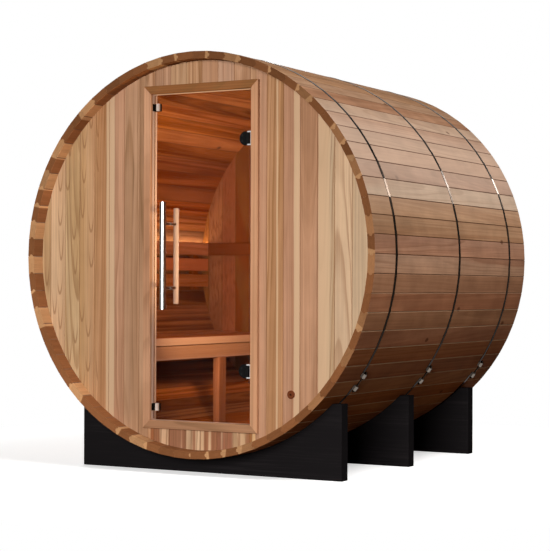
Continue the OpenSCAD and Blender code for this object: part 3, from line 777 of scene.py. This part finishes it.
class SAUNA_OT_staves(Operator):
    """Gives the staves their wood"""
    bl_idname = "sauna.staves"
    bl_label = "Staves"

    def execute(self, context):
        dress(STAVES, stave_wood())
        return {"FINISHED"}


class SAUNA_OT_walls(Operator):
    """Gives the end walls their boards"""
    bl_idname = "sauna.walls"
    bl_label = "End walls"

    def execute(self, context):
        dress(WALLS, wall_boards())
        return {"FINISHED"}


class SAUNA_OT_trim(Operator):
    """Gives the doorway its lining and casing wood"""
    bl_idname = "sauna.trim"
    bl_label = "Doorway trim"

    def execute(self, context):
        dress(TRIM, trim_wood())
        return {"FINISHED"}


class SAUNA_OT_cradles(Operator):
    """Stains the cradles black"""
    bl_idname = "sauna.cradles"
    bl_label = "Cradles"

    def execute(self, context):
        dress(CRADLES, black_timber())
        return {"FINISHED"}


class SAUNA_OT_bands(Operator):
    """Gives the bands, lugs and tension screws their steel"""
    bl_idname = "sauna.bands"
    bl_label = "Bands"

    def execute(self, context):
        tones = settings()[1]
        # Dark steel on bands, screws and lugs: a painted reflection of dark surroundings in polished steel
        steel = metal("band_steel", tones.steel, rough=0.12, metallic=1.0, brush="Y", edge=(0.5, 0.5, 0.5))
        dress(BANDS + ["tension_screws"], steel)
        lugs = metal("lug_steel", tones.lug, rough=0.28, metallic=1.0, brush="Y", edge=(0.6, 0.6, 0.6))
        dress(["tension_lugs"], lugs)
        return {"FINISHED"}


class SAUNA_OT_bench(Operator):
    """Gives the bench and backrest their wood and screws"""
    bl_idname = "sauna.bench"
    bl_label = "Bench"

    def execute(self, context):
        sizes, tones, _ = settings()
        dress(["bench_apron"], bench_wood("bench_apron", "Y", 500.5, tones.apron))
        dress(["bench_seat"], bench_wood("bench_seat", "Y", 510.5, tones.seat, streaks=0.2))
        dress(["backrest_slats"], bench_wood("backrest", "Y", 520.5, tones.slat))
        dress(CROSS_TIMBER, bench_wood("bench_cross", "X", 530.5, tones.rail))
        dress(UPRIGHT_TIMBER, bench_wood("bench_upright", "Z", 560.5, tones.post))
        # Two screws in each slat, over the bearers at both ends and over the leg
        seat, leg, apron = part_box("bench_seat"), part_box("bench_leg"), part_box("bench_apron")
        inset = (apron[1].x - apron[0].x) / 2
        rows = [seat[0].y + inset, (leg[0].y + leg[1].y) / 2, seat[1].y - inset]
        sunk = 0.0012
        places = []
        edge = seat[1].x
        while edge - sizes.slat_w > seat[0].x - NEAR:
            for y in rows:
                for share in (0.25, 0.75):
                    places.append((edge - share * sizes.slat_w, y, seat[1].z - sunk))
            edge -= sizes.slat_pitch
        steel = metal("screw_steel", tones.bright, rough=0.25, metallic=1.0, brush="Z")
        screw_heads("bench_screws", places, sizes.screw_r, (0, 0, 1), steel, "barrel")
        return {"FINISHED"}


class SAUNA_OT_light(Operator):
    """Lights the strip behind the top slat of the backrest"""
    bl_idname = "sauna.light"
    bl_label = "Light strip"

    def execute(self, context):
        dress(["light_strip"], light_strip())
        return {"FINISHED"}


class SAUNA_OT_grommet(Operator):
    """Gives the cable grommet its rubber"""
    bl_idname = "sauna.grommet"
    bl_label = "Cable grommet"

    def execute(self, context):
        dress(["cable_grommet"], grommet())
        return {"FINISHED"}


class SAUNA_OT_door(Operator):
    """Gives the door its glass, fittings, handles and screws"""
    bl_idname = "sauna.door"
    bl_label = "Glass door"

    def execute(self, context):
        sizes, tones, _ = settings()
        dress(["door_glass"], door_glass())
        dress(BRIGHT, metal("bright_metal", tones.bright, rough=0.05, metallic=1.0, brush="Z"))
        dress(["catch_strikes"], metal("satin_metal", WARM_REFLECTED_SATIN, rough=0.3, metallic=0.5, brush="Z"))
        dress(BLACK, metal("black_metal", tones.black, rough=0.45, metallic=0.0, brush="Z", gloss=0.03))
        dress(["inner_handle"], grip_wood())
        # Two screws in each hinge clamp
        low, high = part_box("hinge_clamps")
        inset, sunk, apart = 0.02, 0.0002, 0.013
        places = []
        for z in (low.z + sizes.clamp_r, high.z - sizes.clamp_r):
            for rise in (-apart, apart):
                places.append((low.x + inset, low.y + sunk, z + rise))
        dark = metal("screw_black", tones.black, rough=0.35, metallic=0.0, brush="Z", gloss=0.2)
        screw_heads("hinge_screws", places, sizes.screw_r, (0, -1, 0), dark, "door")
        return {"FINISHED"}


class SAUNA_OT_stage(Operator):
    """Sets the floor, the lamps, the camera and the surroundings"""
    bl_idname = "sauna.stage"
    bl_label = "Stage"

    def execute(self, context):
        _, tones, stage = settings()
        scene = bpy.context.scene
        self.floor(tones)
        self.flag("flag_left", -3, -5.2, -0.95)
        self.flag("flag_right", 3, -2.7, -0.95)
        self.camera(scene, stage)
        self.surroundings(scene, stage)
        aim = (0, 0, 1.0)
        self.lamp("key", (2.2, -8.6, 1.7), aim, 3.6, 2.6, stage.key, DAYLIGHT)
        self.lamp("side", (3.8, -1.6, 6.2), aim, 3.0, 3.0, stage.side, (1.0, 0.98, 0.96))
        spark = self.lamp("spark", (3.0, 7.4, 3.9), (0.9, 0, 1.3), 1.5, 0.45, stage.spark, PLAIN)
        spark.visible_diffuse = False
        self.lamp("rear", (-5.0, 5.5, 2.0), aim, 4.0, 3.0, stage.rear, DAYLIGHT)
        cabin = self.lamp("cabin", (0.31, -0.75, 0.8), (0.0, 0.15, 1.6), 0.14, 0.14, stage.cabin, tones.glow)
        cabin.visible_glossy = False
        return {"FINISHED"}

    def floor(self, tones):
        """A pale floor that holds the shadow near the barrel and is plain white farther out."""
        half_width, sunk, shadow_from, shadow_to = 40, 0.0005, 1.3, 2.6
        made, g, shader = new_material("studio_floor")
        x, y, _ = g.place()
        tooth = g.noise((x, 40.0), (y, 40.0), 0.0)
        g.feed(shader.inputs["Base Color"], g.mix(tooth, dimmed(tones.floor, 0.985), tones.floor))
        shader.inputs["Roughness"].default_value = 0.9
        shader.inputs["Specular IOR Level"].default_value = 0.0
        g.feed(shader.inputs["Emission Color"], PLAIN)
        shader.inputs["Emission Strength"].default_value = 0.5
        white = g.node("ShaderNodeEmission")
        far = g.smooth(g.hypot(x, y), shadow_from, shadow_to)
        far = g.blend(far, shader.outputs[0], white.outputs[0])
        # Little light comes back from it to the object
        dark = g.node("ShaderNodeBsdfDiffuse")
        g.feed(dark.inputs["Color"], (0.05, 0.03, 0.015))
        g.show(g.blend(self.seen(g), dark.outputs[0], far))
        form = bmesh.new()
        bmesh.ops.create_grid(form, x_segments=8, y_segments=8, size=half_width)
        floor = new_piece("studio_floor", form, made)
        floor.location.z = -sunk

    def flag(self, name, across, near, far):
        """A black card beside the door that only mirrored rays see, as a dark edge on the bright metal."""
        tall = 2.4
        made, g, shader = new_material(name)
        x, y, z = g.place()
        weave = g.noise((x, 90.0), (y, 90.0), (z, 90.0))
        g.feed(shader.inputs["Base Color"], g.mix(weave, (0.004, 0.004, 0.004), (0.008, 0.008, 0.008)))
        shader.inputs["Specular IOR Level"].default_value = 0.0
        form = bmesh.new()
        corners = ((across, near, 0), (across, far, 0), (across, far, tall), (across, near, tall))
        form.faces.new([form.verts.new(p) for p in corners])
        card = new_piece(name, form, made)
        for ray in ("camera", "diffuse", "transmission", "shadow"):
            setattr(card, "visible_" + ray, False)

    def camera(self, scene, stage):
        data = bpy.data.cameras.new("camera")
        data.lens = stage.lens
        data.sensor_width = 36.0
        data.clip_end = 200.0
        ahead = Vector((-math.sin(stage.yaw) * math.cos(stage.pitch),
                        math.cos(stage.yaw) * math.cos(stage.pitch), -math.sin(stage.pitch)))
        right = ahead.cross(Vector((0, 0, 1))).normalized()
        up = right.cross(ahead)
        c, s = math.cos(stage.roll), math.sin(stage.roll)
        right, up = c * right + s * up, c * up - s * right
        made = bpy.data.objects.new("camera", data)
        turn = Matrix((right, up, -ahead)).transposed().to_4x4()
        made.matrix_world = Matrix.Translation(Vector(stage.eye)) @ turn
        scene.collection.objects.link(made)
        scene.camera = made

    def surroundings(self, scene, stage):
        world = bpy.data.worlds.new("studio")
        world.use_nodes = True
        scene.world = world
        scene.view_settings.view_transform = "Standard"
        g = Graph(world.node_tree)
        shade = next(n for n in world.node_tree.nodes if n.type == "BACKGROUND")
        g.feed(shade.inputs["Color"], PLAIN)
        g.feed(shade.inputs["Strength"], g.choose(self.seen(g), 1.0, stage.fill))

    def seen(self, g):
        """One for a ray that shows the background: straight, mirrored or through glass."""
        path = g.node("ShaderNodeLightPath")
        direct = g.most(path.outputs["Is Camera Ray"], path.outputs["Is Glossy Ray"])
        return g.most(direct, path.outputs["Is Transmission Ray"])

    def lamp(self, name, at, aim, width, height, watts, tone):
        data = bpy.data.lights.new(name, "AREA")
        data.shape = "RECTANGLE"
        data.size, data.size_y = width, height
        data.energy = watts
        data.color = tuple(tone)
        made = bpy.data.objects.new(name, data)
        made.location = at
        made.rotation_euler = (Vector(aim) - Vector(at)).to_track_quat("-Z", "Y").to_euler()
        made.visible_camera = False
        made.visible_transmission = False
        bpy.context.scene.collection.objects.link(made)
        return made


class SAUNA_PT_panel(Panel):
    """Sauna settings"""
    bl_label = "Barrel Sauna"
    bl_idname = "SAUNA_PT_panel"
    bl_space_type = "VIEW_3D"
    bl_region_type = "UI"
    bl_category = "Sauna"

    def draw(self, context):
        for group, title in zip(settings(), ("Sizes", "Colours", "Stage")):
            box = self.layout.box()
            box.label(text=title)
            for key in group.__annotations__:
                box.prop(group, key)
        for made in OPERATORS:
            self.layout.operator(made.bl_idname)


OPERATORS = (
    SAUNA_OT_staves, SAUNA_OT_walls, SAUNA_OT_trim, SAUNA_OT_cradles, SAUNA_OT_bands, SAUNA_OT_bench,
    SAUNA_OT_light, SAUNA_OT_grommet, SAUNA_OT_door, SAUNA_OT_stage,
)
CLASSES = (SaunaSizes, SaunaColours, SaunaStage) + OPERATORS + (SAUNA_PT_panel,)


def register():
    for made in CLASSES:
        bpy.utils.register_class(made)
    bpy.types.Scene.sauna_sizes = PointerProperty(type=SaunaSizes)
    bpy.types.Scene.sauna_colours = PointerProperty(type=SaunaColours)
    bpy.types.Scene.sauna_stage = PointerProperty(type=SaunaStage)


def unregister():
    for name in ("sauna_sizes", "sauna_colours", "sauna_stage"):
        delattr(bpy.types.Scene, name)
    for made in reversed(CLASSES):
        bpy.utils.unregister_class(made)


def main():
    register()
    bpy.ops.sauna.staves()
    bpy.ops.sauna.walls()
    bpy.ops.sauna.trim()
    bpy.ops.sauna.cradles()
    bpy.ops.sauna.bands()
    bpy.ops.sauna.bench()
    bpy.ops.sauna.light()
    bpy.ops.sauna.grommet()
    bpy.ops.sauna.door()
    bpy.ops.sauna.stage()


if __name__ == "__main__":
    main()
